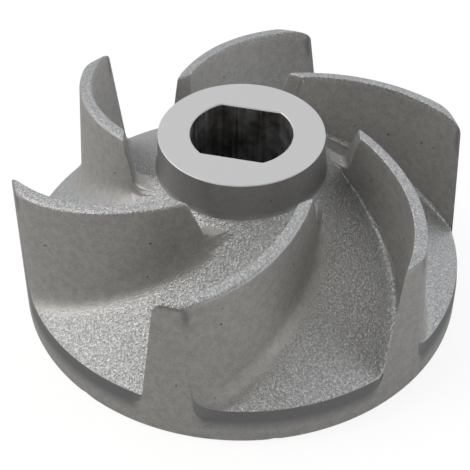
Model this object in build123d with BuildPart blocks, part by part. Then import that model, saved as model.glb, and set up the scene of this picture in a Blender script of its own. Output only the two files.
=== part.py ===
from build123d import *
import math
import os

os.makedirs("parts", exist_ok=True)

# Open pump impeller, one die casting with a turned rim and a faced hub.
# Millimetres. +Z is the shaft axis, z = 0 is the flat back the wheel stands on,
# and the two flats of the bore run along X.

# hub and bore
HUB_DIAMETER = 32.4
HUB_HEIGHT = 38.0
HUB_FOOT_HEIGHT = 30.4
HUB_FOOT_RADIUS = 2.4
BORE_DIAMETER = 20.0
BORE_ACROSS_FLATS = 16.0
BORE_LEAD_IN = 0.2

# back plate, a shallow dished cone on a turned rim
RIM_DIAMETER = 90.0
RIM_HEIGHT = 8.3
RIM_TOP_RADIUS = 44.75
RIM_BAND_HEIGHT = 5.75
RIM_EDGE_ROUND = 0.35
RIM_FOOT_ROUND = 0.6
DISH_MID_RADIUS = 30.8
DISH_MID_HEIGHT = 18.3

# cored back
CORE_RIM_RADIUS = 40.6
CORE_RIM_HEIGHT = 3.6
CORE_MID_RADIUS = 28.6
CORE_MID_HEIGHT = 14.3
CORE_HUB_RADIUS = 17.4
CORE_HUB_HEIGHT = 24.0
BACK_BOSS_RADIUS = 15.2

# vanes
VANE_COUNT = 6
VANE_HALF_THICKNESS = 1.05
VANE_CONVEX_DRAFT = 3.5
VANE_CONCAVE_DRAFT = 2.6
VANE_TOP_PLANE = 38.5
VANE_STATIONS = 13
VANE_ROOT_DEPTH = 1.8
VANE_ROOT_SINK = 0.12
VANE_TOP_INNER_RADIUS = 22.8
VANE_TOP_INNER_HEIGHT = 37.7
VANE_TOP_MID_RADIUS = 33.8
VANE_TOP_MID_HEIGHT = 35.8
VANE_TOP_OUTER_HEIGHT = 33.9
VANE_TIP_RADIUS = 44.6
VANE_TIP_CORNER = 2.2
VANE_OVERRUN_RADIUS = 48.0
VANE_TOP_OVERRUN_HEIGHT = 33.2
VANE_INLET_FOOT_RADIUS = 21.0
VANE_INLET_FOOT_CORNER = 1.2
VANE_SPUR_HEIGHT = 29.6
VANE_INLET_FOOT_HEIGHT = 28.4
VANE_SPUR_INNER_RADIUS = 15.6
VANE_EDGE_ROUND = 0.7

# root radii of the two vane faces against the distance from the shaft
CONVEX_ROOT = ((18.0, 0.6), (25.0, 3.0))
CONCAVE_ROOT = ((21.5, 0.5), (28.0, 1.6), (34.0, 2.4), (40.0, 2.0), (45.5, 0.6))

# vane centreline, radius and angle about the shaft
VANE_CENTRELINE = (
    (12.0, 58.0),
    (16.0, 38.3),
    (19.0, 26.6),
    (22.5, 15.5),
    (28.0, 1.9),
    (34.0, -10.3),
    (40.0, -22.3),
    (45.0, -33.5),
    (48.0, -41.3),
    (51.0, -49.8),
)


def polar(radius, angle):
    """Point on the z = 0 plane at a radius and an angle in degrees."""
    turn = math.radians(angle)
    return Vector(radius * math.cos(turn), radius * math.sin(turn), 0)


def root_radius(table, radius):
    """Root radius at a distance from the shaft, straight between the listed ones."""
    if radius <= table[0][0]:
        return table[0][1]
    for (near, small), (far, large) in zip(table, table[1:]):
        if radius <= far:
            return small + (large - small) * (radius - near) / (far - near)
    return table[-1][1]


def half_thickness(height, draft):
    """Distance of a drafted vane face from the centreline at a height."""
    return VANE_HALF_THICKNESS + (VANE_TOP_PLANE - height) * math.tan(math.radians(draft))


def vane_flank(dish, spot, across, side, draft, table):
    """One face of a vane section from the top plane down into the back plate.

    The points are measured across the vane and upwards: top edge, start of the
    root curve, the corner that steers it, its end on the plate, and the depth.
    """
    def plate(offset):
        ground = spot + across * (side * offset)
        radius = math.hypot(ground.X, ground.Y)
        reach = dish.radius**2 - (radius - dish.arc_center.X) ** 2
        return dish.arc_center.Z - math.sqrt(reach)

    root = root_radius(table, math.hypot(spot.X, spot.Y))
    face = half_thickness(plate(half_thickness(plate(0), draft)), draft)
    curve_top = plate(face) + root
    foot = plate(face + root) - VANE_ROOT_SINK
    return [
        (side * VANE_HALF_THICKNESS, VANE_TOP_PLANE),
        (side * half_thickness(curve_top, draft), curve_top),
        (side * face, plate(face)),
        (side * (face + root), foot),
        (side * (face + root), foot - VANE_ROOT_DEPTH - 1),
    ]


rim_radius = RIM_DIAMETER / 2
hub_radius = HUB_DIAMETER / 2
dish_start = hub_radius + 0.35

# meridian plane on the side away from the first vane, radius along its x axis
FAR_SIDE = Plane(origin=(0, 0, 0), x_dir=(-1, 0, 0), z_dir=(0, 1, 0))

# meridian plane between two vanes, where the seam of the turned faces lies clear
SEAM_SIDE = Plane.XZ.rotated((0, 0, 20))

# hub, back plate and rim turned as one profile
with BuildPart() as wheel:
    with BuildSketch(SEAM_SIDE):
        with BuildLine():
            Polyline(
                (dish_start, HUB_FOOT_HEIGHT),
                (hub_radius, HUB_HEIGHT),
                (0, HUB_HEIGHT),
                (0, 0),
                (rim_radius, 0),
                (rim_radius, RIM_BAND_HEIGHT),
                (RIM_TOP_RADIUS, RIM_HEIGHT),
            )
            ThreePointArc(
                (RIM_TOP_RADIUS, RIM_HEIGHT),
                (DISH_MID_RADIUS, DISH_MID_HEIGHT),
                (dish_start, HUB_FOOT_HEIGHT),
            )
        make_face()
    revolve(axis=Axis.Z)
    hub_foot = wheel.edges().filter_by(GeomType.CIRCLE).filter_by(
        lambda e: abs(e.center().Z - HUB_FOOT_HEIGHT) < 0.1
    )
    fillet(hub_foot, HUB_FOOT_RADIUS)
    rim_edge = wheel.edges().filter_by(GeomType.CIRCLE).filter_by(
        lambda e: abs(e.center().Z - RIM_HEIGHT) < 0.1
    )
    fillet(rim_edge, RIM_EDGE_ROUND)
    rim_foot = wheel.edges().filter_by(GeomType.CIRCLE).filter_by(
        lambda e: e.center().Z < 0.1 and e.radius > rim_radius - 0.1
    )
    fillet(rim_foot, RIM_FOOT_ROUND)

# one vane: sections across a curved centreline, trimmed by a turned envelope
with BuildPart() as vane:
    with BuildLine(mode=Mode.PRIVATE) as guide:
        Spline(*[polar(radius, angle) for radius, angle in VANE_CENTRELINE])
    path = guide.edges()[0]
    with BuildLine(Plane.XZ, mode=Mode.PRIVATE) as plate_profile:
        ThreePointArc(
            (RIM_TOP_RADIUS, RIM_HEIGHT),
            (DISH_MID_RADIUS, DISH_MID_HEIGHT),
            (dish_start, HUB_FOOT_HEIGHT),
        )
    dish = plate_profile.edges()[0]
    for station in range(VANE_STATIONS):
        place = station / (VANE_STATIONS - 1)
        spot = path @ place
        along = path % place
        across = Vector(-along.Y, along.X, 0)
        outer = vane_flank(dish, spot, across, 1, VANE_CONVEX_DRAFT, CONVEX_ROOT)
        inner = vane_flank(dish, spot, across, -1, VANE_CONCAVE_DRAFT, CONCAVE_ROOT)
        with BuildSketch(Plane(origin=spot, x_dir=across, z_dir=along)):
            with BuildLine():
                Line(outer[0], outer[1])
                Bezier(*outer[1:4])
                Line(outer[3], outer[4])
                Line(outer[4], inner[4])
                Line(inner[4], inner[3])
                Bezier(*reversed(inner[1:4]))
                Line(inner[1], inner[0])
                Line(inner[0], outer[0])
            make_face()
    loft()
    with BuildSketch(FAR_SIDE) as envelope:
        with BuildLine():
            ThreePointArc(
                (VANE_TOP_INNER_RADIUS, VANE_TOP_INNER_HEIGHT),
                (VANE_TOP_MID_RADIUS, VANE_TOP_MID_HEIGHT),
                (VANE_OVERRUN_RADIUS, VANE_TOP_OVERRUN_HEIGHT),
            )
            Polyline(
                (VANE_OVERRUN_RADIUS, VANE_TOP_OVERRUN_HEIGHT),
                (VANE_OVERRUN_RADIUS, RIM_HEIGHT - VANE_ROOT_DEPTH * 2),
                (DISH_MID_RADIUS, DISH_MID_HEIGHT - VANE_ROOT_DEPTH),
                (VANE_SPUR_INNER_RADIUS, HUB_FOOT_HEIGHT - VANE_ROOT_DEPTH),
                (VANE_SPUR_INNER_RADIUS, VANE_SPUR_HEIGHT),
                (VANE_INLET_FOOT_RADIUS, VANE_INLET_FOOT_HEIGHT),
                (VANE_TOP_INNER_RADIUS, VANE_TOP_INNER_HEIGHT),
            )
        make_face()
        foot = envelope.vertices().filter_by(
            lambda v: abs(v.X - VANE_INLET_FOOT_RADIUS) < 0.01
        )
        fillet(foot, VANE_INLET_FOOT_CORNER)
    revolve(axis=Axis.Z, mode=Mode.INTERSECT)
    # rounded top, inlet and spur edges
    crest = vane.edges().filter_by(
        lambda e: math.hypot(e.position_at(0.5).X, e.position_at(0.5).Y) > 25
        and e.position_at(0.5).Z > VANE_TOP_OUTER_HEIGHT
        and e.length > 15
    )
    fillet(crest, VANE_EDGE_ROUND)
    with BuildSketch(FAR_SIDE) as ends:
        with BuildLine():
            Polyline(
                (VANE_TIP_RADIUS - VANE_TIP_CORNER * 1.3, VANE_TOP_OUTER_HEIGHT + 0.7),
                (0, HUB_HEIGHT + 4),
                (0, 0),
                (rim_radius, 0),
                (rim_radius, RIM_BAND_HEIGHT),
                (RIM_TOP_RADIUS, RIM_HEIGHT),
                (VANE_TIP_RADIUS, VANE_TOP_OUTER_HEIGHT - VANE_TIP_CORNER),
            )
            TangentArc(
                (VANE_TIP_RADIUS, VANE_TOP_OUTER_HEIGHT - VANE_TIP_CORNER),
                (VANE_TIP_RADIUS - VANE_TIP_CORNER * 1.3, VANE_TOP_OUTER_HEIGHT + 0.7),
                tangent=(VANE_TIP_RADIUS - RIM_TOP_RADIUS, VANE_TOP_OUTER_HEIGHT - RIM_HEIGHT),
            )
        make_face()
    revolve(axis=Axis.Z, mode=Mode.INTERSECT)

# the whole casting
with BuildPart() as impeller:
    add(wheel.part)
    with PolarLocations(0, VANE_COUNT):
        add(vane.part)
    # cored back with the hub boss left standing in it
    with BuildSketch(Plane.XZ):
        with BuildLine():
            Polyline(
                (CORE_RIM_RADIUS, 0),
                (BACK_BOSS_RADIUS, 0),
                (CORE_HUB_RADIUS - 1.6, CORE_HUB_HEIGHT),
                (CORE_HUB_RADIUS, CORE_HUB_HEIGHT),
            )
            ThreePointArc(
                (CORE_HUB_RADIUS, CORE_HUB_HEIGHT),
                (CORE_MID_RADIUS, CORE_MID_HEIGHT),
                (CORE_RIM_RADIUS - 0.2, CORE_RIM_HEIGHT),
            )
            Line((CORE_RIM_RADIUS - 0.2, CORE_RIM_HEIGHT), (CORE_RIM_RADIUS, 0))
        make_face()
    revolve(axis=Axis.Z, mode=Mode.SUBTRACT)
    # double-D bore with a lead-in at both mouths
    with BuildSketch(Plane.XY):
        Circle(BORE_DIAMETER / 2)
        Rectangle(BORE_DIAMETER, BORE_ACROSS_FLATS, mode=Mode.INTERSECT)
    extrude(amount=HUB_HEIGHT, mode=Mode.SUBTRACT)
    mouths = impeller.edges().filter_by(
        lambda e: math.hypot(e.position_at(0.5).X, e.position_at(0.5).Y) < BORE_DIAMETER / 2 + 0.01
        and (e.position_at(0.5).Z < 0.01 or e.position_at(0.5).Z > HUB_HEIGHT - 0.01)
    )
    chamfer(mouths, BORE_LEAD_IN)

impeller.part.label = "impeller"
export_step(impeller.part, "parts/impeller.step")
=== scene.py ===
"""Dresses the pump impeller: one aluminium die casting with six swept vanes on a dished disc.

The casting is laid over one closed grid of quads. Its columns follow the sides of the vanes and its rows
run from the bore over the hub, the disc and the rim to the cored back, so that the fillets at the vane roots,
the drafts and the rounded crests are real surfaces, and every edge that the cutter left is a crisp one.
"""

import logging
import math
from dataclasses import dataclass
from enum import Enum

import bpy
import numpy as np
from mathutils import Euler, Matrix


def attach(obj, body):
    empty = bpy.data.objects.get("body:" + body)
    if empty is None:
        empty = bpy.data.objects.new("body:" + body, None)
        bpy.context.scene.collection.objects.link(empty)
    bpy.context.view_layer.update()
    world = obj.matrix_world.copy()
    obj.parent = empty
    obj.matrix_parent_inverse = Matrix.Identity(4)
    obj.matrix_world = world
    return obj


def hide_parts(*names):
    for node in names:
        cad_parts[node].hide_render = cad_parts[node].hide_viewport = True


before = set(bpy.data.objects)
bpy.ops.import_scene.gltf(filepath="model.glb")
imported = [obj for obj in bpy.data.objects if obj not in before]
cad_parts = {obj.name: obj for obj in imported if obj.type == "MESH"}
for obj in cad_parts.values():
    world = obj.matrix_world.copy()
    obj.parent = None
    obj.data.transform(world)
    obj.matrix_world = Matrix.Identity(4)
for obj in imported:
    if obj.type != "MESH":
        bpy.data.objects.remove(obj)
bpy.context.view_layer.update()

MM = 0.001
NODE = "impeller"
BODY = "root"

log = logging.getLogger("impeller")

# the search along the centreline settles well within these steps
SEARCH_STEPS = 30
SEARCH_GAIN = 0.8

Array = np.ndarray
Point = tuple[float, float]
Tree = bpy.types.NodeTree
Socket = bpy.types.NodeSocket
Number = float | Socket
Colour = tuple[float, float, float, float] | Socket


def rounded(points: list[Point], radii: dict[int, float], steps: int = 6) -> Array:
    """Rounds chosen corners of an outline with arcs.

    Args:
        points: corners of the outline in order, in mm.
        radii: corner number to arc radius in mm; other corners stay sharp.
        steps: segments in each arc.

    Returns:
        The outline as an array of points.
    """
    corners = [np.array(point, float) for point in points]
    outline = []
    for index, corner in enumerate(corners):
        if index not in radii:
            outline.append(corner)
            continue
        before = corners[index - 1] - corner
        after = corners[(index + 1) % len(corners)] - corner
        before /= np.linalg.norm(before)
        after /= np.linalg.norm(after)
        half = math.acos(float(np.clip(before @ after, -1, 1))) / 2
        reach = radii[index] / math.tan(half)
        bisector = (before + after) / np.linalg.norm(before + after)
        centre = corner + bisector * radii[index] / math.sin(half)
        start = corner + before * reach - centre
        end = corner + after * reach - centre
        sweep = math.pi - 2 * half
        for step in range(steps + 1):
            share = step / steps
            mixed = (start * math.sin((1 - share) * sweep) + end * math.sin(share * sweep)) / math.sin(sweep)
            outline.append(centre + mixed)
    return np.array(outline)


def arc_through(first: Point, middle: Point, last: Point, steps: int) -> list[Point]:
    """Divides the arc through three points.

    Args:
        first: start of the arc in mm.
        middle: a point on the arc.
        last: end of the arc.
        steps: segments along the arc.

    Returns:
        The points of the arc, both ends included.
    """
    (ax, ay), (bx, by), (cx, cy) = first, middle, last
    twice = 2 * (ax * (by - cy) + bx * (cy - ay) + cx * (ay - by))
    sums = [x * x + y * y for x, y in (first, middle, last)]
    x = (sums[0] * (by - cy) + sums[1] * (cy - ay) + sums[2] * (ay - by)) / twice
    y = (sums[0] * (cx - bx) + sums[1] * (ax - cx) + sums[2] * (bx - ax)) / twice
    radius = math.hypot(ax - x, ay - y)
    start = math.atan2(ay - y, ax - x)
    turn = math.atan2(cy - y, cx - x) - start
    turn = (turn + math.pi) % (2 * math.pi) - math.pi
    angles = [start + turn * step / steps for step in range(steps + 1)]
    return [(x + radius * math.cos(angle), y + radius * math.sin(angle)) for angle in angles]


def ring(x: Array, y: Array, height: float) -> Array:
    """Lays one row of points at a height.

    Args:
        x: X of each point in mm.
        y: Y of each point.
        height: their height.

    Returns:
        The points, with three numbers for each.
    """
    return np.stack([x, y, 0 * x + height], axis=-1)


@dataclass
class TurnedForm:
    """Hub, disc, rim and cored back as one turned profile, in mm."""

    hub_radius: float = 16.2
    hub_height: float = 38.0
    hub_foot_height: float = 30.4
    hub_draft: float = 0.35
    hub_foot_fillet: float = 2.4
    hub_edge: float = 0.15
    sand_start: float = 16.9
    rim_radius: float = 45.0
    rim_height: float = 8.3
    rim_top_radius: float = 44.75
    rim_band_height: float = 5.75
    rim_edge: float = 0.35
    band_lean: float = 0.03
    band_break: float = 0.12
    back_edge: float = 0.6
    dish_middle: Point = (30.8, 18.3)
    core_rim: Point = (40.4, 3.6)
    core_middle: Point = (28.6, 14.3)
    core_hub: Point = (17.4, 24.0)
    core_lead: float = 0.2
    core_fillet: float = 1.5
    boss_radius: float = 15.2
    boss_lean: float = 0.6
    boss_fillet: float = 0.6
    boss_edge: float = 0.3
    dish_steps: int = 24
    core_steps: int = 12

    def band_top(self) -> Point:
        """Radius and height where the flank between the tips meets the turned band, in mm."""
        return (self.rim_radius - self.band_lean, self.rim_band_height + self.band_break)

    def top(self) -> Array:
        """Profile from the crisp outer edge of the hub's face down to the turned band of the rim."""
        foot = (self.hub_radius + self.hub_draft, self.hub_foot_height)
        dish = arc_through(foot, self.dish_middle, (self.rim_top_radius, self.rim_height), self.dish_steps)
        hub = [
            (self.hub_radius - self.hub_edge, self.hub_height),
            (self.hub_radius, self.hub_height - self.hub_edge),
        ]
        flank = [self.band_top(), (self.rim_radius, self.rim_band_height - self.band_break)]
        first = len(hub)
        radii = {first: self.hub_foot_fillet, first + self.dish_steps: self.rim_edge}
        return rounded(hub + dish + flank, radii, 8)

    def under(self) -> Array:
        """Profile from the rim's side round its back edge and through the cored back to the boss."""
        core = arc_through(self.core_rim, self.core_middle, self.core_hub, self.core_steps)
        points = [
            (self.rim_radius, self.rim_band_height * 0.5),
            (self.rim_radius, 0.0),
            (self.core_rim[0] + self.core_lead, 0.0),
        ]
        points += core
        points += [
            (self.boss_radius + self.boss_lean, self.core_hub[1]),
            (self.boss_radius, self.boss_edge),
            (self.boss_radius - self.boss_edge, 0.0),
        ]
        last = len(core) + 2
        radii = {1: self.back_edge, 3: self.core_fillet, last: self.boss_fillet, last + 1: self.boss_fillet}
        return rounded(points, radii, 5)


@dataclass
class VaneForm:
    """One backward-swept vane with its spur, drafts and root fillets, in mm and degrees."""

    centreline: tuple[Point, ...] = (
        (12.0, 58.0),
        (16.0, 38.3),
        (19.0, 26.6),
        (22.5, 15.5),
        (28.0, 1.9),
        (34.0, -10.3),
        (40.0, -22.3),
        (45.0, -33.5),
        (48.0, -41.3),
        (51.0, -49.8),
    )
    count: int = 6
    half_thickness: float = 1.05
    draft_plane: float = 38.5
    convex_draft: float = 3.5
    concave_draft: float = 2.6
    inlet_top: Point = (22.8, 37.7)
    crest_middle: Point = (33.8, 35.8)
    crest_overrun: Point = (48.0, 33.2)
    inlet_foot: Point = (21.0, 28.4)
    spur_start: Point = (15.6, 29.6)
    inlet_top_round: float = 0.5
    inlet_foot_round: float = 1.2
    tip_radius: float = 44.6
    tip_corner: float = 2.2
    convex_round: float = 0.7
    concave_round: float = 0.3
    edge_share: float = 0.42
    nose_reach: float = 3.0
    nose_pull: float = 0.9
    heel_round: float = 0.9
    heel_reach: float = 1.8
    heel_end: float = 0.96
    convex_root: tuple[Point, ...] = ((18.0, 0.6), (25.0, 3.0))
    concave_root: tuple[Point, ...] = ((21.5, 0.5), (28.0, 1.6), (34.0, 2.4), (40.0, 2.0), (45.5, 0.6))
    foot_step: float = 0.14
    curve_degree: int = 7

    def __post_init__(self) -> None:
        """Fits the smooth curve of the centreline."""
        radii, angles = zip(*self.centreline)
        self.curve = np.polynomial.Polynomial.fit(radii, np.radians(angles), self.curve_degree)

    def crest_line(self, rim: Point) -> Array:
        """Height of the vane's top against radius, from the spur over the inlet and the crest to the tip.

        Args:
            rim: radius and height of the upper edge of the rim's turned band, where the tip ends.

        Returns:
            Points of radius and height, with the radius always growing.
        """
        crest = arc_through(self.inlet_top, self.crest_middle, self.crest_overrun, 20)
        inside = [point for point in crest if point[0] < self.tip_radius - self.tip_corner]
        over = crest[len(inside)]
        share = (self.tip_radius - inside[-1][0]) / (over[0] - inside[-1][0])
        corner = (self.tip_radius, inside[-1][1] + share * (over[1] - inside[-1][1]))
        points = [self.spur_start, self.inlet_foot, *inside, corner, rim]
        radii = {1: self.inlet_foot_round, 2: self.inlet_top_round, len(points) - 2: self.tip_corner}
        return rounded(points, radii, 9)

    def angle_at(self, radius: Array, offset: Array) -> Array:
        """Angle about the shaft of the line that runs beside the vane at a steady distance.

        Args:
            radius: radius of each point in mm.
            offset: distance from the centreline in mm, positive on the convex side.

        Returns:
            Angles in radians.
        """
        slope_curve = self.curve.deriv()
        along = np.array(radius, float) + np.zeros_like(offset)
        for _ in range(SEARCH_STEPS):
            angle = self.curve(along)
            slope = along * slope_curve(along)
            length = np.sqrt(1 + slope * slope)
            # unit tangent has radial part 1/length, so the left normal is (-slope, 1)/length in polar parts
            radial = along - offset * slope / length
            across = offset / length
            along = along - SEARCH_GAIN * (np.hypot(radial, across) - radius)
        return angle + np.arctan2(across, radial)

    def root_radius(self, radius: Array, convex: bool) -> Array:
        """Size in mm of the root curve on the convex or the concave side, against radius."""
        places, sizes = zip(*(self.convex_root if convex else self.concave_root))
        return np.interp(radius, places, sizes)

    def half_width(self, height: Array, convex: bool) -> Array:
        """Half thickness in mm at a height, for the convex or the concave side."""
        draft = math.radians(self.convex_draft if convex else self.concave_draft)
        return self.half_thickness + (self.draft_plane - height) * math.tan(draft)


@dataclass
class BoreForm:
    """Double-D shaft bore: a round hole with two flats along X, in mm and degrees."""

    radius: float = 10.0
    flat: float = 8.0
    lead_in: float = 0.2
    corner_reach: float = 14.0
    wall_rows: int = 6

    def outline(self, angle: Array, grow: float) -> tuple[Array, Array]:
        """Outline of the bore, grown evenly, with a column on each of its four corners.

        Args:
            angle: angles of the columns in radians.
            grow: how much wider the outline is than the bore, in mm.

        Returns:
            X and Y of the outline for each column.
        """
        corner = math.asin((self.flat + grow) / (self.radius + grow))
        turned = angle.copy()
        reach = math.radians(self.corner_reach)
        for target in (corner, math.pi - corner, math.pi + corner, -corner):
            gap = (angle - target + math.pi) % (2 * math.pi) - math.pi
            nearest = gap.flat[np.argmin(np.abs(gap))]
            fall = np.clip(1 - np.abs(gap - nearest) / reach, 0, 1)
            turned = turned - nearest * fall
        to_flat = (self.flat + grow) / np.maximum(np.abs(np.sin(turned)), 1e-6)
        distance = np.minimum(self.radius + grow, to_flat)
        return distance * np.cos(turned), distance * np.sin(turned)


@dataclass(frozen=True)
class Knock:
    """A small dent or nick: its middle and reach in mm, and how far the metal moved."""

    middle: tuple[float, float, float]
    reach: float
    move: tuple[float, float, float]

    def press(self, points: Array) -> Array:
        """Moves the points that lie within the knock and returns them all."""
        away = np.linalg.norm(points - np.array(self.middle), axis=-1, keepdims=True)
        return points + np.array(self.move) * np.exp(-((away / self.reach) ** 2))


# the dragged lip at the top of one tip, and three chips in the rim's band and foot
KNOCKS = (
    Knock((-2.4, -45.7, 34.4), 1.3, (0.1, 0.35, -0.3)),
    Knock((-4.6, -44.8, 2.9), 0.8, (0.02, 0.2, 0.0)),
    Knock((16.5, -41.8, 0.3), 0.7, (-0.06, 0.16, 0.0)),
    Knock((-21.0, -39.7, 0.4), 0.8, (0.08, 0.14, 0.0)),
)


@dataclass
class Columns:
    """How many columns of the grid each strip of one vane and passage gets."""

    crest: int = 3
    edge: int = 5
    wall: int = 11
    root: int = 7
    passage: int = 24


@dataclass
class Rows:
    """Where the rows of the grid lie, in mm, beside those that the profiles themselves bring.

    The face shares are the places of the two rows between the bore's mouth and the hub's edge.
    """

    inlet: Point = (20.2, 24.4)
    inlet_step: float = 0.15
    disc_step: float = 0.55
    disc_start: float = 0.3
    disc_end: float = 0.5
    crest_start: float = 19.0
    tip_start: float = 42.0
    land: int = 10
    least_gap: float = 0.024
    face_shares: Point = (0.3, 0.65)


@dataclass
class Gaps:
    """What keeps the grid's lines apart where two forms run together, in mm."""

    edge: float = 0.12
    root: float = 0.3
    wall: float = 0.02
    foot: float = 0.03
    sunk_wall: float = 0.55
    sunk_foot: float = 1.05


@dataclass
class SkinMap:
    """Where the metal is sandy and where shade is painted on it: lengths in mm, shares from 0 to 1.

    The reaches are the heights of wall below which the disc's sand takes over.
    """

    concave_edge: float = 0.8
    root_fade: float = 1.5
    crest_reach: float = 0.4
    wall_reach: float = 1.8
    tip_clear: float = 0.3
    inlet_clear: float = 0.1
    rim_clear: float = 0.06
    flank_start: float = 0.02
    flank_end: float = 0.01
    core: float = 0.5
    # painted shade: how dark the hub's side is painted, and the dark line along the top of each tip
    hub_painted_shade: float = 0.6
    lip_painted_shade: float = 0.9
    lip_inset: float = 0.35
    lip_width: float = 0.3


@dataclass
class Casting:
    """The whole impeller as one closed surface, laid over a grid of quads."""

    wheel: TurnedForm
    vane: VaneForm
    bore: BoreForm
    columns: Columns
    rows: Rows
    gaps: Gaps
    skin: SkinMap
    knocks: tuple[Knock, ...]

    def side(self, radius: Array, floor: Array, crest: Array, convex: bool) -> tuple[Array, Array, Array]:
        """Section across one side of a vane on circles about the shaft.

        Args:
            radius: radius of each row, as a column of numbers.
            floor: height of the disc in each row.
            crest: the crest line as points of radius and height.
            convex: which side of the vane it is.

        Returns:
            Distance from the centreline, height and grit, with a row for each radius.
        """
        vane, columns, gaps = self.vane, self.columns, self.gaps
        middle = np.interp(radius, crest[:, 0], crest[:, 1])
        room = np.maximum(middle - floor, 0)
        edge = np.clip(vane.edge_share * room, gaps.edge, vane.convex_round if convex else vane.concave_round)
        # the nose of the inlet is rounded in plan, so its height at the edge is that of a place further in
        inlet = radius < vane.inlet_top[0] + vane.nose_reach
        angles = np.linspace(0, math.pi / 2, columns.edge + 1)
        dip = edge * (1 - np.cos(angles))
        place = np.where(inlet, radius - vane.nose_pull * dip, radius)
        height_edge = np.interp(place, crest[:, 0], crest[:, 1]) - dip
        wall_top = height_edge[:, -1:]
        wanted = vane.root_radius(radius, convex)
        step = 0.0 if convex else vane.foot_step
        half_wall = 0.5 * (wall_top - floor)
        root = np.clip(half_wall, gaps.root, wanted)
        lift = np.clip(half_wall, 0.0, wanted)
        width_edge = vane.half_width(np.maximum(wall_top, floor), convex)
        offset_edge = width_edge - edge + edge * np.sin(angles)
        share = np.linspace(0, 1, columns.crest + 1)[:-1]
        offset_top = (width_edge - edge) * share
        height_top = middle + 0 * share
        foot = floor + lift
        share = np.linspace(0, 1, columns.wall + 1)[1:]
        height_wall = wall_top + (foot - wall_top) * share
        height_wall = np.where(wall_top > foot, height_wall, foot)
        # where the vane has sunk into the hub's foot, its columns still keep apart
        sunk = np.clip(1 - (wall_top - foot), 0, 1) * gaps.sunk_wall
        offset_wall = vane.half_width(height_wall, convex) + (gaps.wall + sunk) * share
        share = np.linspace(0, 1, columns.root + 1)
        shelf = step * np.clip((wall_top - foot) / 2, 0, 1) * (1 - share)
        width_floor = vane.half_width(floor, convex)
        spread = (1 - share) ** 2 * (vane.half_width(foot, convex) - width_floor)
        offset_root = width_floor + spread + gaps.foot + gaps.sunk_foot * sunk + shelf + root * share**2
        height_root = floor + lift * (1 - share) ** 2
        offset = np.concatenate([offset_top, offset_edge, offset_wall, offset_root], axis=1)
        if convex:
            # the convex face rolls over into the turned tip
            roll = np.clip((radius - vane.tip_radius + vane.heel_reach) / vane.heel_reach, 0, 1)
            drop = vane.heel_round * (1 - np.sqrt(1 - vane.heel_end * roll**2))
            offset = offset - drop * np.clip(offset / width_edge, 0, 1)
        height = np.concatenate([height_top, height_edge, height_wall, height_root], axis=1)
        height = np.maximum(height, floor)
        return offset, height, self.sand(radius, wall_top - floor, convex)

    def sand(self, radius: Array, wall: Array, convex: bool) -> Array:
        """Share of sandy metal across one side of a vane.

        Args:
            radius: radius of each row, as a column of numbers.
            wall: height of the vane's wall over the disc in each row.
            convex: which side of the vane it is.

        Returns:
            Shares from 0 to 1, with a row for each radius.
        """
        vane, columns, skin = self.vane, self.columns, self.skin
        fade = np.clip(np.linspace(-skin.root_fade, 1.0, columns.root + 1), 0, 1)
        grit = np.concatenate(
            [
                np.ones(columns.crest),
                np.linspace(1.0, 0.0 if convex else skin.concave_edge, columns.edge + 1),
                np.zeros(columns.wall),
                fade if convex else np.ones(columns.root + 1),
            ]
        )
        on_top = np.arange(len(grit)) < columns.crest + columns.edge + 1
        bare = (radius > vane.tip_radius - skin.tip_clear) | (radius < vane.inlet_top[0] - skin.inlet_clear)
        grit = np.where(bare & on_top, 0.0, grit + 0 * radius)
        # where the wall runs out, the disc's sand takes over
        reach = np.where(on_top, skin.crest_reach, skin.wall_reach)
        low = np.clip(1 - wall / reach, 0, 1)
        return grit + (1 - grit) * low

    def disc_rows(self, disc: Array, crest: Array) -> Array:
        """Chooses the radii of the rows between the hub and the rim.

        Args:
            disc: profile of the disc as points of radius and height.
            crest: the crest line as points of radius and height.

        Returns:
            The radii in mm, growing and nowhere too close.
        """
        wheel, rows = self.wheel, self.rows
        fine = np.arange(*rows.inlet, rows.inlet_step)
        coarse = np.arange(disc[0, 0] + rows.disc_start, wheel.rim_radius - rows.disc_end, rows.disc_step)
        tip = crest[crest[:, 0] > rows.tip_start, 0]
        crest_rows = crest[crest[:, 0] > rows.crest_start, 0]
        land_start = self.vane.tip_radius + wheel.band_lean
        land = np.linspace(land_start, wheel.rim_radius - wheel.band_lean, rows.land)
        radius = np.concatenate([disc[1:, 0], crest_rows, fine, coarse, tip, land])
        radius = np.unique(np.round(radius[(radius > disc[0, 0]) & (radius <= wheel.rim_radius)], 3))
        spaced = [radius[0]]
        for value in radius[1:]:
            if value - spaced[-1] > rows.least_gap:
                spaced.append(value)
        return np.array(spaced)

    def painted_shade(self, radius: Array, lines: int) -> Array:
        """Painted shade of one vane and passage: the hub's side, the flank between the tips and a dark line
        along the top of each tip.

        Args:
            radius: radius of each row, as a column of numbers.
            lines: number of columns of one vane and passage.

        Returns:
            Shares from 0 to 1, with a row for each radius.
        """
        wheel, columns, skin = self.wheel, self.columns, self.skin
        # painted shade: the hub's side and the flank between the tips are painted darker where they lie in
        # shade; the rim's band and the tips are not
        on_top = columns.crest + columns.edge + 1
        beside = columns.wall + columns.root
        passage = np.interp(np.arange(lines), [on_top, on_top + beside], [0, 1])
        passage = np.minimum(passage, passage[::-1])
        flank = radius > wheel.rim_top_radius - skin.flank_start
        flank = flank & (radius < wheel.rim_radius - skin.flank_end)
        painted_shade = np.where(radius < wheel.sand_start, skin.hub_painted_shade, np.where(flank, passage, 0.0))
        # painted shadow: a dark line runs along the top of each tip
        lip = np.clip(1 - np.abs(radius - self.vane.tip_radius + skin.lip_inset) / skin.lip_width, 0, 1)
        return np.maximum(painted_shade, skin.lip_painted_shade * lip * (passage == 0))

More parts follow.
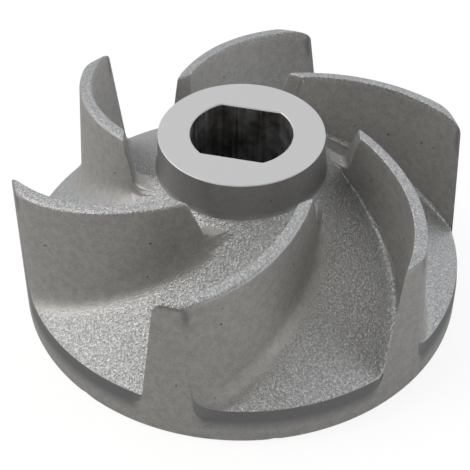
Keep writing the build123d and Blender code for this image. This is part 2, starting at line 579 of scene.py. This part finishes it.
    def vaned_rows(self) -> tuple[Array, Array, Array, Array, Array]:
        """Rows from the hub's foot to the rim's side, with the six vanes standing on them.

        Returns:
            Radius, angle, height, grit and painted shade, each with a row for each circle and a column for
            each line.
        """
        wheel, vane = self.wheel, self.vane
        profile = wheel.top()[:-1]
        crest = vane.crest_line(wheel.band_top())
        hub = profile[profile[:, 0] < wheel.hub_radius + wheel.hub_draft]
        disc = profile[len(hub) - 1:]
        radius = self.disc_rows(disc, crest)
        floor = np.interp(radius, disc[:, 0], disc[:, 1])
        radius = np.concatenate([hub[:, 0], radius])[:, None]
        floor = np.concatenate([hub[:, 1], floor])[:, None]
        foot_radius = np.maximum(radius, disc[0, 0])
        pitch = 2 * math.pi / vane.count
        offset_a, height_a, grit_a = self.side(radius, floor, crest, True)
        offset_b, height_b, grit_b = self.side(radius, floor, crest, False)
        angle_a = vane.angle_at(foot_radius, offset_a)
        angle_b = vane.angle_at(foot_radius, -offset_b) + pitch
        share = np.linspace(0, 1, self.columns.passage + 2)[1:-1]
        angle_p = angle_a[:, -1:] + (angle_b[:, -1:] - angle_a[:, -1:]) * share
        height_p = floor + 0 * share
        grit_p = np.ones_like(height_p)
        angle = np.concatenate([angle_a, angle_p, angle_b[:, :0:-1]], axis=1)
        height = np.concatenate([height_a, height_p, height_b[:, :0:-1]], axis=1)
        grit = np.concatenate([grit_a, grit_p, grit_b[:, :0:-1]], axis=1)
        bare = (radius < wheel.sand_start) | (radius > wheel.rim_top_radius - self.skin.rim_clear)
        grit = np.where(bare, 0.0, grit)
        painted_shade = self.painted_shade(radius, angle.shape[1])
        turns = np.arange(vane.count) * pitch
        angle = np.concatenate([angle + turn for turn in turns] + [angle[:, :1] + 2 * math.pi], axis=1)
        height, grit, painted_shade = (
            np.concatenate([part] * vane.count + [part[:, :1]], axis=1) for part in (height, grit, painted_shade)
        )
        return radius + 0 * angle, angle, height, grit, painted_shade

    def surface(self) -> tuple[Array, Array, Array]:
        """Lays the whole closed grid.

        Returns:
            Points as rows by columns by three in mm, and the grit and the painted shade of each point.
        """
        wheel, bore = self.wheel, self.bore
        radius, angle, height, grit, painted_shade = self.vaned_rows()
        hub_angle = angle[0]
        rows = [
            ring(*bore.outline(hub_angle, 0.0), wheel.hub_height - bore.lead_in),
            ring(*bore.outline(hub_angle, bore.lead_in), wheel.hub_height),
        ]
        first = ring(radius[0] * np.cos(hub_angle), radius[0] * np.sin(hub_angle), wheel.hub_height)
        for share in self.rows.face_shares:
            rows.append(rows[1] * (1 - share) + first * share)
        before = len(rows)
        grits = [0 * hub_angle] * before
        vaned = np.stack([radius * np.cos(angle), radius * np.sin(angle), height], axis=-1)
        rows += list(vaned)
        grits += list(grit)
        pitch = 2 * math.pi / self.vane.count
        under = wheel.under()
        travel = np.concatenate([[0], np.cumsum(np.hypot(*np.diff(under, axis=0).T))])
        start = int(np.argmin(np.abs(under[:, 0] - wheel.core_rim[0] - wheel.core_lead)))
        share = np.clip((travel - travel[start]) / (travel[-1] - travel[start]), 0, 1)
        inner = hub_angle - pitch
        for (reach, level), along in zip(under, share):
            turned = angle[-1] * (1 - along) + inner * along
            rows.append(ring(reach * np.cos(turned), reach * np.sin(turned), level))
            grits.append(0 * turned + self.skin.core * (0 < along < 1))
        levels = np.linspace(bore.lead_in, wheel.hub_height - bore.lead_in, bore.wall_rows + 1)[1:]
        bore_rows = [(bore.lead_in, 0.0), (0.0, bore.lead_in), *((0.0, level) for level in levels)]
        for grow, level in bore_rows:
            rows.append(ring(*bore.outline(inner, grow), level))
            grits.append(0 * inner)
        points = np.array(rows)
        for knock in self.knocks:
            points = knock.press(points)
        painted_shades = np.zeros(points.shape[:2])
        painted_shades[before:before + len(painted_shade)] = painted_shade
        return points, np.array(grits), painted_shades


class Zone(Enum):
    """The finishes of the casting, numbered as its material slots."""

    CAST = 0
    FACED = 1
    BROACHED = 2


def linear(code: str) -> tuple[float, float, float, float]:
    """Turns an sRGB hex colour into the linear colour that a socket takes."""
    parts = [int(code[i:i + 2], 16) / 255 for i in (1, 3, 5)]
    return tuple(c / 12.92 if c <= 0.04045 else ((c + 0.055) / 1.055) ** 2.4 for c in parts) + (1.0,)


def add_node(
    tree: Tree, kind: str, inputs: dict[str | int, object] | None = None, **settings: str
) -> bpy.types.Node:
    """Adds a node with its settings and links.

    Args:
        tree: node tree that gets the node.
        kind: Blender's name of the node type.
        inputs: socket name or number to a plain value, or to the socket that feeds it.
        settings: properties of the node.

    Returns:
        The new node.
    """
    node = tree.nodes.new(kind)
    for name, value in settings.items():
        setattr(node, name, value)
    for name, value in (inputs or {}).items():
        socket = node.inputs[name]
        if isinstance(value, Socket):
            tree.links.new(value, socket)
        else:
            socket.default_value = value
    return node


def ramp(tree: Tree, source: Socket, span: Point, to: Point = (0, 1)) -> Socket:
    """Maps a range of a value to another, held at its ends.

    Args:
        tree: node tree that gets the node.
        source: the value.
        span: the value's range.
        to: the range that it becomes.

    Returns:
        The socket of the result.
    """
    node = add_node(
        tree, "ShaderNodeMapRange",
        {"Value": source, "From Min": span[0], "From Max": span[1], "To Min": to[0], "To Max": to[1]},
    )
    return node.outputs["Result"]


def maths(tree: Tree, operation: str, first: Number, second: Number) -> Socket:
    """Works out one sum, product or other operation of two values.

    Args:
        tree: node tree that gets the node.
        operation: Blender's name of the operation.
        first: a plain number or a socket.
        second: a plain number or a socket.

    Returns:
        The socket of the result.
    """
    return add_node(tree, "ShaderNodeMath", {0: first, 1: second}, operation=operation).outputs[0]


def blend(tree: Tree, share: Socket, low: Colour, high: Colour) -> Socket:
    """Mixes two colours.

    Args:
        tree: node tree that gets the node.
        share: share of the second colour, from 0 to 1.
        low: first colour, linear or a socket.
        high: second colour, linear or a socket.

    Returns:
        The socket of the mixed colour.
    """
    return add_node(tree, "ShaderNodeMix", {0: share, 6: low, 7: high}, data_type="RGBA").outputs[2]


def per_metre(size_mm: float) -> float:
    """Scale of a noise on coordinates in metres whose features are about a size in mm."""
    return 1 / (size_mm * MM)


def noise(tree: Tree, place: Socket, size_mm: float, detail: float, roughness: float) -> Socket:
    """Adds a noise whose features have a real size.

    Args:
        tree: node tree that gets the node.
        place: coordinates in metres.
        size_mm: size of the features in mm.
        detail: how many finer layers it has.
        roughness: how strong the finer layers are.

    Returns:
        The socket of the noise, from 0 to 1.
    """
    inputs = {"Vector": place, "Scale": per_metre(size_mm), "Detail": detail, "Roughness": roughness}
    return add_node(tree, "ShaderNodeTexNoise", inputs).outputs["Fac"]


def relief(tree: Tree, height: Socket, strength: Number, depth_mm: float) -> Socket:
    """Turns a height into a bumpy normal.

    Args:
        tree: node tree that gets the node.
        height: the height, from 0 to 1.
        strength: share of the bump that shows, plain or a socket.
        depth_mm: depth of the whole height in mm.

    Returns:
        The socket of the normal.
    """
    inputs = {"Height": height, "Strength": strength, "Distance": depth_mm * MM}
    return add_node(tree, "ShaderNodeBump", inputs).outputs["Normal"]


def empty_material(name: str) -> tuple[bpy.types.Material, Tree]:
    """Makes a material without nodes and returns it with its node tree."""
    material = bpy.data.materials.new(name)
    material.use_nodes = True
    material.node_tree.nodes.clear()
    return material, material.node_tree


def metal_shader(tree: Tree, colour: Colour, metallic: float, roughness: Number, normal: Socket) -> None:
    """Ends a node tree with the shader of a metal.

    Args:
        tree: node tree that gets the shader.
        colour: base colour, linear or a socket.
        metallic: share of bare metal, from 0 to 1.
        roughness: roughness, plain or a socket.
        normal: socket of the normal.
    """
    inputs = {"Base Color": colour, "Metallic": metallic, "Roughness": roughness, "Normal": normal}
    shader = add_node(tree, "ShaderNodeBsdfPrincipled", inputs)
    add_node(tree, "ShaderNodeOutputMaterial", {"Surface": shader.outputs[0]})


@dataclass(frozen=True)
class CastSkin:
    """Die-cast aluminium: a dull grey skin, smooth on the vane faces and sparkling where the die was eroded.

    The steel of the die was polished for the vanes and left spark-eroded on the disc and the crests, so the
    metal is satin on the first and sandy on the second, with faint cloudy flow marks and a few pin holes.
    Shade is painted on as a darker grey where the casting's shade attribute is set, and each pin hole is a
    dark spot painted for the shade inside it.
    """

    skin: str = "#cecdca"
    cloud: str = "#bab8b5"
    # painted shade: the darker grey laid where shade falls
    painted_shade_grey: str = "#939495"
    # painted shade: the colour of the pin holes, painted for the shade inside them
    pit: str = "#5a5755"
    grain_light: str = "#e4e4e4"
    grain_dark: str = "#b6b7b8"
    metallic: float = 0.9
    grain_mm: float = 0.42
    fine_mm: float = 0.26
    cloud_mm: float = 1.5
    pit_mm: float = 3.4
    pit_edge: Point = (0.04, 0.09)
    pit_rarity: Point = (0.5, 0.55)
    mottle_span: Point = (0.84, 1.14)
    grain_span: Point = (0.4, 0.62)
    skin_roughness: float = 0.55
    grain_roughness: Point = (0.42, 0.24)
    rough_span: Point = (0.35, 0.65)
    relief_strength: Point = (0.22, 1.0)
    relief_mm: float = 0.27
    fine_relief: float = 0.5

    def build(self) -> bpy.types.Material:
        """Builds the material and returns it."""
        material, tree = empty_material("die_cast_aluminium")
        place = add_node(tree, "ShaderNodeTexCoord").outputs["Object"]
        grit = add_node(tree, "ShaderNodeAttribute", attribute_name="grit").outputs["Fac"]
        painted_shade = add_node(tree, "ShaderNodeAttribute", attribute_name="painted_shade").outputs["Fac"]
        cloud = noise(tree, place, self.cloud_mm, 6.0, 0.7)
        fine = noise(tree, place, self.fine_mm, 2.0, 0.6)
        grain = noise(tree, place, self.grain_mm, 3.0, 0.55)
        inputs = {"Vector": place, "Scale": per_metre(self.pit_mm), "Randomness": 1.0}
        hole = add_node(tree, "ShaderNodeTexVoronoi", inputs)
        rare = add_node(tree, "ShaderNodeSeparateColor", {0: hole.outputs["Color"]}).outputs[0]
        near = ramp(tree, hole.outputs["Distance"], self.pit_edge, (1, 0))
        pitted = maths(tree, "MULTIPLY", near, ramp(tree, rare, self.pit_rarity))
        mottle = ramp(tree, maths(tree, "ADD", cloud, fine), self.mottle_span)
        smooth = blend(tree, mottle, linear(self.cloud), linear(self.skin))
        # painted shade: each pin hole is a dark spot in the colour, with no hole in the surface
        smooth = blend(tree, pitted, smooth, linear(self.pit))
        # painted shade: the skin turns a darker grey where the shade attribute is set
        smooth = blend(tree, painted_shade, smooth, linear(self.painted_shade_grey))
        tone = ramp(tree, grain, self.grain_span)
        sandy = blend(tree, tone, linear(self.grain_dark), linear(self.grain_light))
        colour = blend(tree, grit, smooth, sandy)
        sparkle = ramp(tree, grain, self.rough_span, self.grain_roughness)
        rough = add_node(tree, "ShaderNodeMix", {"Factor": grit, "A": self.skin_roughness, "B": sparkle})
        height = maths(tree, "ADD", grain, maths(tree, "MULTIPLY", fine, self.fine_relief))
        bump = relief(tree, height, ramp(tree, grit, (0, 1), self.relief_strength), self.relief_mm)
        metal_shader(tree, colour, self.metallic, rough.outputs["Result"], bump)
        return material


@dataclass(frozen=True)
class FacedMetal:
    """Freshly faced aluminium: bright and even, with fine turning lines round the shaft."""

    metal: str = "#ededee"
    metallic: float = 0.8
    roughness: float = 0.6
    line_mm: float = 0.12
    line_strength: float = 0.15
    line_depth_mm: float = 0.01

    def build(self) -> bpy.types.Material:
        """Builds the material and returns it."""
        material, tree = empty_material("faced_aluminium")
        place = add_node(tree, "ShaderNodeTexCoord").outputs["Object"]
        parts = add_node(tree, "ShaderNodeSeparateXYZ", {0: place})
        flat = add_node(tree, "ShaderNodeCombineXYZ", {0: parts.outputs[0], 1: parts.outputs[1]}).outputs[0]
        reach = add_node(tree, "ShaderNodeVectorMath", {0: flat}, operation="LENGTH").outputs["Value"]
        inputs = {"W": reach, "Scale": per_metre(self.line_mm), "Detail": 2.0}
        lines = add_node(tree, "ShaderNodeTexNoise", inputs, noise_dimensions="1D").outputs["Fac"]
        bump = relief(tree, lines, self.line_strength, self.line_depth_mm)
        metal_shader(tree, linear(self.metal), self.metallic, self.roughness, bump)
        return material


@dataclass(frozen=True)
class BroachedMetal:
    """The bore's wall: dull aluminium with the straight marks of the broach along the shaft."""

    dark: str = "#55534f"
    light: str = "#a3a2a4"
    metallic: float = 0.6
    roughness: float = 0.5
    mark_mm: float = 0.7
    mark_squeeze: float = 0.03
    mark_strength: float = 0.5
    mark_depth_mm: float = 0.05
    stain_mm: float = 3.0
    tone_span: Point = (0.16, 0.36)

    def build(self) -> bpy.types.Material:
        """Builds the material and returns it."""
        material, tree = empty_material("broached_bore")
        place = add_node(tree, "ShaderNodeTexCoord").outputs["Object"]
        stretch = (1.0, 1.0, self.mark_squeeze)
        drawn = add_node(tree, "ShaderNodeMapping", {"Vector": place, "Scale": stretch}).outputs[0]
        marks = noise(tree, drawn, self.mark_mm, 4.0, 0.7)
        stain = noise(tree, place, self.stain_mm, 4.0, 0.6)
        tone = ramp(tree, maths(tree, "MULTIPLY", marks, stain), self.tone_span)
        colour = blend(tree, tone, linear(self.dark), linear(self.light))
        bump = relief(tree, marks, self.mark_strength, self.mark_depth_mm)
        metal_shader(tree, colour, self.metallic, self.roughness, bump)
        return material


@dataclass
class ImpellerPiece:
    """Turns the casting's surface into the finished piece: lengths in mm, the angle in degrees."""

    casting: Casting
    weld: float = 0.002
    smooth_angle: float = 32.0
    faced_depth: float = 0.3
    bore_margin: float = 0.05

    def mesh(self) -> bpy.types.Object:
        """Lays a grid over the casting and closes its seams.

        Returns:
            The piece, with its place in its mesh.
        """
        points, grit, painted_shade = self.casting.surface()
        rows, columns, _ = points.shape
        bpy.ops.object.select_all(action="DESELECT")
        bpy.ops.mesh.primitive_grid_add(x_subdivisions=columns - 1, y_subdivisions=rows - 1, size=2)
        piece = bpy.context.object
        piece.name = "impeller_casting"
        mesh = piece.data
        mesh.name = "impeller_casting"
        start = np.empty(len(mesh.vertices) * 3)
        mesh.vertices.foreach_get("co", start)
        start = start.reshape(-1, 3)
        column = np.rint((start[:, 0] + 1) / 2 * (columns - 1)).astype(int)
        row = np.rint((start[:, 1] + 1) / 2 * (rows - 1)).astype(int)
        mesh.vertices.foreach_set("co", (points[row, column] * MM).ravel())
        for name, values in (("grit", grit), ("painted_shade", painted_shade)):
            attribute = mesh.attributes.new(name, "FLOAT", "POINT")
            attribute.data.foreach_set("value", values[row, column].astype(np.float32))
        mesh.update()
        bpy.ops.object.mode_set(mode="EDIT")
        bpy.ops.mesh.select_all(action="SELECT")
        bpy.ops.mesh.remove_doubles(threshold=self.weld * MM)
        bpy.ops.mesh.normals_make_consistent(inside=False)
        bpy.ops.object.mode_set(mode="OBJECT")
        bpy.ops.object.shade_smooth_by_angle(angle=math.radians(self.smooth_angle))
        return piece

    def dress(self, piece: bpy.types.Object) -> None:
        """Gives each face of the piece its finish, by where it lies."""
        for finish in (CastSkin(), FacedMetal(), BroachedMetal()):
            piece.data.materials.append(finish.build())
        wheel, bore = self.casting.wheel, self.casting.bore
        faces = piece.data.polygons
        centres = np.empty(len(faces) * 3)
        normals = np.empty(len(faces) * 3)
        faces.foreach_get("center", centres)
        faces.foreach_get("normal", normals)
        centres, normals = centres.reshape(-1, 3) / MM, normals.reshape(-1, 3)
        reach = np.hypot(centres[:, 0], centres[:, 1])
        zone = np.full(len(faces), Zone.CAST.value)
        level = np.abs(normals[:, 2])
        top = (centres[:, 2] > wheel.hub_height - self.faced_depth) & (reach < wheel.hub_radius)
        under = (centres[:, 2] < self.faced_depth) & (reach < wheel.rim_radius)
        zone[(top | under) & (level > 0.5)] = Zone.FACED.value
        zone[(reach < bore.radius + self.bore_margin) & (level < 0.5)] = Zone.BROACHED.value
        faces.foreach_set("material_index", zone.astype(np.int32))

    def build(self) -> bpy.types.Object:
        """Makes the finished piece, seats it on its body and returns it."""
        piece = self.mesh()
        self.dress(piece)
        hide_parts(NODE)
        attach(piece, BODY)
        log.info("impeller_casting: %d faces", len(piece.data.polygons))
        return piece


@dataclass(frozen=True)
class SoftLight:
    """One soft patch of the sky.

    Its bearing is 0 to the camera's right and 90 away from the camera, its height is above the floor, both
    in degrees. A larger focus makes it smaller.
    """

    bearing: float
    height: float
    focus: float
    strength: float
    tint: str


@dataclass
class Studio:
    """White floor, sky with soft lights and the camera, in mm and degrees; the floor is in metres."""

    turn: float = 13.6
    camera_back: float = 188.8
    camera_height: float = 182.5
    camera_pitch: float = 42.208
    camera_yaw: float = 0.385
    lens: float = 94.16
    sensor: float = 36.0
    floor_size: float = 4.0
    paper: str = "#909090"
    floor_lift: float = 0.84
    floor_glow: float = 0.25
    lights: tuple[SoftLight, ...] = (
        SoftLight(bearing=0, height=12, focus=10, strength=1.9, tint="#f8fbff"),
        SoftLight(bearing=60, height=12, focus=10, strength=1.2, tint="#fafcff"),
        SoftLight(bearing=120, height=12, focus=10, strength=0.9, tint="#fafcff"),
        SoftLight(bearing=182, height=22, focus=12, strength=1.6, tint="#fffdfa"),
        SoftLight(bearing=184, height=46, focus=14, strength=2.3, tint="#fffdfa"),
        SoftLight(bearing=305, height=12, focus=10, strength=0.8, tint="#fff8ee"),
        SoftLight(bearing=100, height=84, focus=16, strength=1.3, tint="#ffffff"),
        SoftLight(bearing=95, height=40, focus=24, strength=0.72, tint="#ffffff"),
    )

    def floor(self) -> bpy.types.Object:
        """Lays the white floor, which the camera sees as white and which keeps the shadow."""
        bpy.ops.object.select_all(action="DESELECT")
        bpy.ops.mesh.primitive_plane_add(size=self.floor_size, location=(0, 0, 0))
        floor = bpy.context.object
        floor.name = "studio_floor"
        material, tree = empty_material("studio_floor")
        paper = add_node(tree, "ShaderNodeBsdfDiffuse", {"Color": linear(self.paper)})
        path = add_node(tree, "ShaderNodeLightPath")
        seen = maths(tree, "MULTIPLY", path.outputs["Is Camera Ray"], self.floor_lift)
        mirrored = maths(tree, "MULTIPLY", path.outputs["Is Glossy Ray"], self.floor_glow)
        strength = maths(tree, "ADD", seen, mirrored)
        glow = add_node(tree, "ShaderNodeEmission", {"Color": linear("#ffffff"), "Strength": strength})
        both = add_node(tree, "ShaderNodeAddShader", {0: paper.outputs[0], 1: glow.outputs[0]})
        add_node(tree, "ShaderNodeOutputMaterial", {"Surface": both.outputs[0]})
        floor.data.materials.append(material)
        return floor

    def camera(self) -> bpy.types.Object:
        """Sets the camera up and returns it."""
        data = bpy.data.cameras.new("camera")
        data.sensor_width = self.sensor
        data.lens = self.lens
        camera = bpy.data.objects.new("camera", data)
        bpy.context.scene.collection.objects.link(camera)
        turn = math.radians(self.turn)
        back = self.camera_back * MM
        camera.location = (back * math.sin(turn), -back * math.cos(turn), self.camera_height * MM)
        tilt = math.radians(90 - self.camera_pitch)
        camera.rotation_euler = Euler((tilt, 0, math.radians(self.turn + self.camera_yaw)))
        bpy.context.scene.camera = camera
        return camera

    def patch(self, tree: Tree, ray: Socket, light: SoftLight) -> Socket:
        """Adds the shader of one soft light to the world.

        Args:
            tree: node tree of the world.
            ray: socket with the direction of a ray.
            light: the soft light.

        Returns:
            The socket of its shader.
        """
        turn, lift = math.radians(light.bearing + self.turn), math.radians(light.height)
        axis = (math.cos(lift) * math.cos(turn), math.cos(lift) * math.sin(turn), math.sin(lift))
        toward = add_node(tree, "ShaderNodeVectorMath", {0: ray, 1: axis}, operation="DOT_PRODUCT")
        near = maths(tree, "MAXIMUM", toward.outputs["Value"], 0.0)
        power = maths(tree, "MULTIPLY", maths(tree, "POWER", near, light.focus), light.strength)
        inputs = {"Color": linear(light.tint), "Strength": power}
        return add_node(tree, "ShaderNodeBackground", inputs).outputs[0]

    def world(self) -> None:
        """Hangs the soft lights in a sky that the camera sees as white."""
        world = bpy.data.worlds.new("studio")
        bpy.context.scene.world = world
        world.use_nodes = True
        tree = world.node_tree
        tree.nodes.clear()
        ray = add_node(tree, "ShaderNodeTexCoord").outputs["Generated"]
        total, *others = (self.patch(tree, ray, light) for light in self.lights)
        for other in others:
            total = add_node(tree, "ShaderNodeAddShader", {0: total, 1: other}).outputs[0]
        path = add_node(tree, "ShaderNodeLightPath")
        seen = add_node(tree, "ShaderNodeBackground", {"Color": linear("#ffffff"), "Strength": 1.0})
        mix = add_node(
            tree, "ShaderNodeMixShader",
            {0: path.outputs["Is Camera Ray"], 1: total, 2: seen.outputs[0]},
        )
        add_node(tree, "ShaderNodeOutputWorld", {"Surface": mix.outputs[0]})

    def build(self) -> None:
        """Sets the whole studio up."""
        self.floor()
        self.camera()
        self.world()
        bpy.context.scene.view_settings.view_transform = "Standard"
        log.info("studio: floor, camera and %d soft lights", len(self.lights))


def main() -> None:
    """Builds the impeller and its studio."""
    logging.basicConfig(level=logging.INFO)
    casting = Casting(TurnedForm(), VaneForm(), BoreForm(), Columns(), Rows(), Gaps(), SkinMap(), KNOCKS)
    ImpellerPiece(casting).build()
    Studio().build()


if __name__ == "__main__":
    main()
